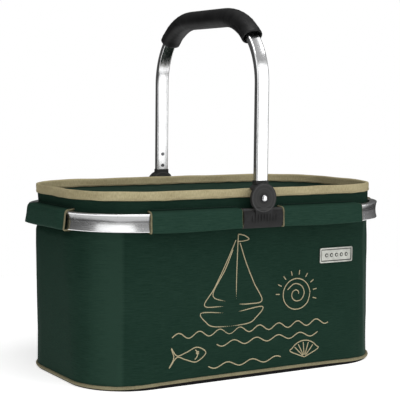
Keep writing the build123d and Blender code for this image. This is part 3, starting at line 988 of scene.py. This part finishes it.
def seams(edge, inside):
    """Stitching on the binding and on the sleeves' upper edges."""
    level, flare = BINDING_LOW + 0.0022, rim_flare(BINDING_LOW)
    outside_row = round_line(level, 0.0012 + flare + np.abs(edge) * 0.5)
    points, normals = round_line(level, -0.0035 + flare - np.abs(inside) * 0.5)
    rows = [outside_row, (points, -normals)]
    stitches("binding_stitches", rows, TAN_THREAD, "frame")
    count = 60
    lines = []
    for node in TUNNELS:
        places = stretch_of(node, count)
        points = at(places, np.full(count, RAIL_HIGH + 0.0036), 0.0002)
        low = np.floor(places).astype(int) % COLUMNS
        lines.append((points, np.column_stack([RIM_OUTLINE[low, 2:], np.zeros(count)])))
    stitches("sleeve_stitches", lines, GREEN_THREAD, "frame", gap=0.0014)


# Across a felled seam: columns from its middle and distance out from the bag's face.
FELLED_SEAM = (
    (-0.9, -0.0057), (-0.8, -0.0064), (0, -0.0066), (0.8, -0.0064), (0.9, -0.0057), (0, -0.0054),
)


def lining_seams():
    """Upright seams in the middle of each side of the lining, each a narrow felled strip with two rows."""
    levels = np.linspace(LINING_FLOOR + 0.001, WALL_TOP - 0.003, 40)

    def upright(place, out):
        """A line up the lining."""
        return at(np.full(len(levels), place), levels, np.full(len(levels), out))

    strips, lines = [], []
    to_side = HALF + CORNER + SIDE / 2
    for place in (0, to_side, COLUMNS / 2, COLUMNS - to_side):
        strips.append([upright(place + offset, out) for offset, out in FELLED_SEAM])
        inwards = at(np.array([place]), np.array([0.1]), -1.0) - at(np.array([place]), np.array([0.1]), 0)
        for offset in (-0.55, 0.55):
            lines.append((upright(place + offset, -0.0066), np.repeat(inwards, len(levels), axis=0)))
    strip = patchwork("lining_seams", strips, LINING_CLOTH, "basket", loop=False)
    squash_with_frame(strip)
    squash_with_frame(stitches("lining_seam_stitches", lines, GREEN_THREAD, "basket"))


# ---------------------------------------------------------------- embroidery

THREAD_STEP = 0.0006
THREAD_HALF_WIDTH = 0.0007
THREAD_HEIGHT = 0.0005
CHAIN_LINK = 0.0029


def curve_through(points, closed=False):
    """Evenly spaced points on a smooth curve through the given ones, in metres from millimetres."""
    points = [Vector(p) * 0.001 for p in points]
    count = len(points)
    dense = []
    for index in range(count if closed else count - 1):
        near = range(index - 1, index + 3)
        near = [k % count if closed else min(max(k, 0), count - 1) for k in near]
        p0, p1, p2, p3 = (points[k] for k in near)
        for share in np.arange(0, 1, 0.04):
            a, b, c = p2 - p0, 2 * p0 - 5 * p1 + 4 * p2 - p3, 3 * p1 - p0 - 3 * p2 + p3
            dense.append(p1 + 0.5 * (a * share + b * share ** 2 + c * share ** 3))
    dense.append(points[0] if closed else points[-1])
    return evenly(dense)


def straight_through(points):
    """Evenly spaced points on straight runs between the given ones, in metres from millimetres."""
    return evenly([Vector(p) * 0.001 for p in points])


def evenly(points):
    """Points one thread step apart along a line."""
    line = np.array([tuple(p) for p in points])
    reach = np.concatenate([[0], np.cumsum(np.linalg.norm(np.diff(line, axis=0), axis=1))])
    places = np.linspace(0, reach[-1], max(int(reach[-1] / THREAD_STEP), 4))
    return np.column_stack([np.interp(places, reach, line[:, k]) for k in range(2)])


def from_centre(centre, reach, turn):
    """A point at a distance and an angle, in radians, from a centre."""
    return centre[0] + reach * math.cos(turn), centre[1] + reach * math.sin(turn)


def arc_points(centre, radius, start, end, count):
    """Points on an arc, in degrees anticlockwise from the right."""
    angles = [math.radians(start + (end - start) * k / (count - 1)) for k in range(count)]
    return [from_centre(centre, radius, angle) for angle in angles]


def rays(centre, angles, near, far):
    """Straight lines that point away from a centre."""
    return [straight_through([from_centre(centre, r, math.radians(a)) for r in (near, far)]) for a in angles]


# The drawing, in millimetres from the middle of the front and from the floor.
# Waves: height of the line, height of a wave, shift, length of a wave, first and last point.
WAVES = ((62, 3.6, 0, 4.4, -112, 112), (47, 3.2, 1, 5.0, -52, 96), (20, 3.0, 2, 5.4, -62, 42))
HULL = ((-74, 88), (-68, 76), (-54, 69), (-12, 69), (2, 76), (10, 89), (-32, 85))
MAST = ((-27, 86), (-27.5, 130), (-27, 183))
SAILS = (
    ((-30, 176), (-42, 150), (-58, 118), (-71, 97), (-50, 94), (-30, 95)),
    ((-34, 164), (-44, 140), (-60, 110), (-46, 101), (-34, 101)),
    ((-24, 172), (-14, 146), (-2, 120), (10, 97), (-8, 94), (-24, 95)),
)
PENNANT = ((-27, 183), (-18, 181), (-11, 176), (-19, 174), (-27, 174))
SUN = (61, 101)
FISH = (
    (-112, 48), (-104, 38), (-92, 41), (-78, 46), (-66, 38), (-78, 28), (-92, 32), (-104, 36),
    (-113, 24), (-108, 36),
)
FISH_EYE = (-77, 39)
FISH_GILL = (-84, 37)
SHELL = (72, 17)


def picture():
    """A plain seaside drawing in single lines: a sailing boat on waves, a sun, a fish and a shell."""
    lines = []
    for level, height, shift, length, start, end in WAVES:
        places = range(start, end, 4)
        lines.append(curve_through([(x, level + height * math.sin(shift + x / length)) for x in places]))
    lines.append(curve_through(HULL, closed=True))
    lines += [curve_through(line) for line in (MAST, *SAILS, PENNANT)]
    lines.append(curve_through(arc_points(SUN, 20, 0, 330, 20), closed=True))
    lines.append(curve_through([from_centre(SUN, 3 + turn * 1.2, turn * 0.9) for turn in range(11)]))
    lines += rays(SUN, range(-15, 200, 24), 25, 31)
    lines.append(curve_through(FISH, closed=True))
    lines.append(curve_through(arc_points(FISH_EYE, 1.6, 0, 300, 7), closed=True))
    lines.append(curve_through(arc_points(FISH_GILL, 7, -60, 60, 6)))
    lines.append(curve_through([SHELL, *arc_points(SHELL, 22, 25, 155, 11), SHELL]))
    lines += rays(SHELL, (50, 72, 94, 116, 134), 3, 20)
    return lines


def embroidery():
    """The drawing as raised chain stitch on the front of the bag."""
    grids = []
    sides = 8
    straight_half = RIM_LENGTH / 2 - RIM_RADIUS
    for line in picture():
        count = len(line)
        centre = at(line[:, 0] / straight_half * HALF, line[:, 1], np.full(count, 0.0003))
        ahead = np.gradient(centre, axis=0)
        ahead /= np.linalg.norm(ahead, axis=1, keepdims=True)
        out = np.tile([0.0, -1.0, 0.013], (count, 1))
        side = np.cross(ahead, out)
        side /= np.linalg.norm(side, axis=1, keepdims=True)
        index = np.arange(count)
        link = 0.82 + 0.22 * np.abs(np.sin(math.pi * index * THREAD_STEP / CHAIN_LINK)) ** 0.7
        taper = np.clip(np.minimum(index + 1, count - index) / 2, 0.3, 1)
        swell = (link * taper)[:, None]
        rows = []
        for k in range(sides):
            angle = 2 * math.pi * k / sides
            aside, proud = THREAD_HALF_WIDTH * math.cos(angle), THREAD_HEIGHT * math.sin(angle)
            rows.append(centre + side * swell * aside + out * swell * proud)
        grids.append(rows)
    squash_with_frame(patchwork("embroidery", grids, TAN_THREAD, "basket", loop=False))


# ---------------------------------------------------------------- grip

GRIP_HALF_ANGLE = math.radians(47)
BOW_BEND = 0.085
GRIP_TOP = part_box("grip")[1].z
GRIP_HALF_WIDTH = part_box("grip")[1].x
GRIP_HALF_DEPTH = 0.012
HOLLOW_HALF_WIDTH = 0.0088
HOLLOW_HALF_DEPTH = 0.0043
BOW_LEG = -middle_of("front_foot").y
BOW_TOP = GRIP_TOP - GRIP_HALF_DEPTH
BEND_STEPS = 26
TOP_STEPS = 34
# Each end of the grip: how far its lip is drawn in, and how far inside the end that ring lies.
LIP = (
    (-0.0026, 0.010), (-0.0024, 0.006), (-0.0022, 0.002), (-0.0018, 0.0002), (-0.0009, -0.0003),
    (-0.0002, 0.0003),
)


def bow_line():
    """Points on the middle of the bow under the grip: place across, height, and how far the bow leans."""
    centre_y, centre_z = BOW_LEG - BOW_BEND, BOW_TOP - BOW_BEND

    def bend(side, share):
        """A point on one of the bow's two bends."""
        angle = GRIP_HALF_ANGLE * share
        across = centre_y + BOW_BEND * math.sin(angle)
        return side * across, centre_z + BOW_BEND * math.cos(angle), side * angle

    near = [bend(-1, 1 - step / BEND_STEPS) for step in range(BEND_STEPS + 1)]
    top = [(centre_y * (2 * step / TOP_STEPS - 1), BOW_TOP, 0) for step in range(1, TOP_STEPS)]
    far = [bend(1, step / BEND_STEPS) for step in range(BEND_STEPS + 1)]
    return near + top + far


def grip_ring(spot, grow, slide=0.0, half_width=GRIP_HALF_WIDTH, half_depth=GRIP_HALF_DEPTH):
    """An oval of points round the bow, swollen by grow and moved along the bow by slide."""
    y, z, lean = spot
    up = Vector((0, math.sin(lean), math.cos(lean)))
    ahead = Vector((0, math.cos(lean), -math.sin(lean)))
    sides = 40
    found = []
    for k in range(sides):
        angle = 2 * math.pi * k / sides
        across, tall = math.cos(angle), math.sin(angle)
        flat = abs(across) ** 0.9 * (1 if across > 0 else -1)
        centre = Vector((0, y, z)) + ahead * slide + up * (half_depth + grow) * tall
        found.append(centre + Vector(((half_width + grow) * flat, 0, 0)))
    return found


def hand_grip():
    """Foam grip: an oval sleeve, fuller in the middle of the palm, open and lipped at both ends."""
    spots = bow_line()
    last = len(spots) - 1
    rows = [grip_ring(spots[0], grow, slide) for grow, slide in LIP]
    for index in range(1, last):
        share = index / last
        from_lip = min(share, 1 - share) - 0.06
        palm = 0.00025 * math.sin(math.pi * share) - 0.0003 * math.exp(-(from_lip / 0.03) ** 2)
        wrinkle = 0.00012 * math.sin(index * 2.2) * (abs(spots[index][2]) > 0.05)
        rows.append(grip_ring(spots[index], palm + wrinkle))
    rows += [grip_ring(spots[last], grow, -slide) for grow, slide in LIP[::-1]]
    for index in range(last - 3, 3, -1):
        rows.append(grip_ring(spots[index], 0, 0, HOLLOW_HALF_WIDTH, HOLLOW_HALF_DEPTH))
    grip = skin("hand_grip", rows, GRIP_FOAM, "handle")
    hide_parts("grip")
    grip_parting_line(spots[2:-2])


def grip_parting_line(spots):
    """The fine ridge that the mould left along both sides of the grip."""
    section = ((0.0, 0.0006), (0.0004, 0.0002), (0.0003, -0.0006), (-0.0003, -0.0006), (-0.0004, 0.0002))
    ridges = []
    for side in (-1, 1):
        ridge = []
        for width, tall in section:
            out = side * (GRIP_HALF_WIDTH - 0.0001 + tall * 0.5)
            row = []
            for y, z, lean in spots:
                up = Vector((0, math.sin(lean), math.cos(lean)))
                row.append(Vector((out, y, z)) + up * (width * 1.2))
            ridge.append(row)
        ridges.append(ridge)
    patchwork("grip_parting_line", ridges, GRIP_FOAM, "handle", loop=False)


# ---------------------------------------------------------------- CAD pieces that keep their shapes

# The end of a node's name, and its finish; the stiffener board's stands for every other node.
CAD_FINISHES = {
    "rail_joiner": HIDDEN_PLASTIC, "clamp_plate": HIDDEN_PLASTIC, "clamp_screws": STEEL,
    "pivot_pin": STEEL, "pivot_washer": PALE_PLASTIC, "foot_rivets": STEEL, "clamp": BLACK_PLASTIC,
    "foot": BLACK_PLASTIC, "left_rail": RAIL_METAL, "right_rail": RAIL_METAL,
    "handle_bow": BOW_METAL, "badge": BADGE_PLATE,
}


def finish_cad_pieces():
    """Gives each carried-over CAD node its finish."""
    for name, node in nodes.items():
        fitting = [finish for end, finish in CAD_FINISHES.items() if ("_" + name).endswith("_" + end)]
        for material_slot in node.material_slots:
            material_slot.material = fitting[0] if fitting else BOARD


# ---------------------------------------------------------------- studio

# Brightness of the air above and all round, of the backdrop and of the floor itself.
AIR_ABOVE = 0.42
AIR_ROUND = 0.03
BACKDROP = 1.0
FLOOR_GLOW = 0.58
BRIGHT_WAY = Vector((0.1, -0.5, 0.86))
FLOOR_HALF = 0.8
LAMPS_LOOK_AT = Vector((0, 0, 0.2))

# Name, place, width and height in metres, and power in watts.
LAMPS = (
    ("left_box", (-1.40, -1.25, 0.90), (1.9, 1.6), 9.0),
    ("right_box", (1.13, -1.80, 0.55), (0.9, 1.7), 6.6),
    ("top_box", (0.1, -0.9, 2.3), (1.8, 1.4), 24),
)


def studio_air():
    """Soft light from above and in front, with an even white backdrop behind."""
    world = bpy.data.worlds.new("studio_air")
    world.use_nodes = True
    bpy.context.scene.world = world
    world.node_tree.nodes.clear()
    air = Tree(world.node_tree)
    way = air.node("ShaderNodeTexCoord", output="Generated")
    share = air.node("ShaderNodeVectorMath", {0: way, 1: BRIGHT_WAY}, output="Value", operation="DOT_PRODUCT")
    share = (share * 0.5 + 0.5).clamped()
    strength = share * share * AIR_ABOVE + AIR_ROUND
    around = air.node("ShaderNodeBackground", {"Color": (1, 1, 1, 1), "Strength": strength})
    behind = air.node("ShaderNodeBackground", {"Color": (1, 1, 1, 1), "Strength": BACKDROP})
    seen = air.node("ShaderNodeLightPath", output="Is Camera Ray")
    mixed = air.node("ShaderNodeMixShader", {0: seen, 1: around, 2: behind})
    air.node("ShaderNodeOutputWorld", {"Surface": mixed})


def pale_floor():
    """The floor under the basket, glowing a little so that it melts into the backdrop."""
    corners = [(x * FLOOR_HALF, y * FLOOR_HALF, 0) for x, y in ((-1, -1), (1, -1), (1, 1), (-1, 1))]
    mesh = bpy.data.meshes.new("floor")
    mesh.from_pydata(corners, [], [(0, 1, 2, 3)])
    floor = bpy.data.objects.new("floor", mesh)
    bpy.context.scene.collection.objects.link(floor)
    paint = Finish("floor_paint", Roughness=0.9, Specular_IOR_Level=0.0, Emission_Strength=FLOOR_GLOW)
    paint.shader.inputs["Base Color"].default_value = (0.86, 0.86, 0.86, 1)
    paint.shader.inputs["Emission Color"].default_value = (1, 1, 1, 1)
    mesh.materials.append(paint.material)


def lamps():
    """A soft box on either side of the camera and a third overhead, themselves unseen."""
    for name, place, size, power in LAMPS:
        light = bpy.data.lights.new(name, "AREA")
        light.shape = "RECTANGLE"
        light.size, light.size_y = size
        light.energy = power
        lamp = bpy.data.objects.new(name, light)
        lamp.location = place
        lamp.rotation_euler = (LAMPS_LOOK_AT - Vector(place)).to_track_quat("-Z", "Y").to_euler()
        lamp.visible_camera = False
        bpy.context.scene.collection.objects.link(lamp)


def studio():
    """White backdrop, pale floor and three lamps."""
    bpy.context.scene.view_settings.view_transform = "Standard"
    studio_air()
    pale_floor()
    lamps()


CAMERA_PLACE = (-0.8274, -1.3591, 0.3511)
CAMERA_TURN = (30.98, 4.89, 0.57)
SENSOR_WIDTH = 36
LENS = 107.7


def camera():
    """Stands in front and to the left of the basket, a little above its rim."""
    yaw, pitch, roll = (math.radians(angle) for angle in CAMERA_TURN)
    ahead = Vector((math.sin(yaw) * math.cos(pitch), math.cos(yaw) * math.cos(pitch), -math.sin(pitch)))
    level = ahead.cross(Vector((0, 0, 1))).normalized()
    upright = level.cross(ahead)
    right = level * math.cos(roll) + upright * math.sin(roll)
    up = upright * math.cos(roll) - level * math.sin(roll)
    eye = bpy.data.cameras.new("camera")
    eye.sensor_width = SENSOR_WIDTH
    eye.lens = LENS
    viewer = bpy.data.objects.new("camera", eye)
    axes = Matrix((right, up, -ahead)).transposed().to_4x4()
    axes.translation = CAMERA_PLACE
    viewer.matrix_world = axes
    bpy.context.scene.collection.objects.link(viewer)
    bpy.context.scene.camera = viewer


camera()
studio()
bag_wall()
bag_lining()
rim_band()
binding_edges = rim_binding()
foot_piping()
floor_of_the_bag()
sleeves()
seams(*binding_edges)
lining_seams()
embroidery()
hand_grip()
finish_cad_pieces()
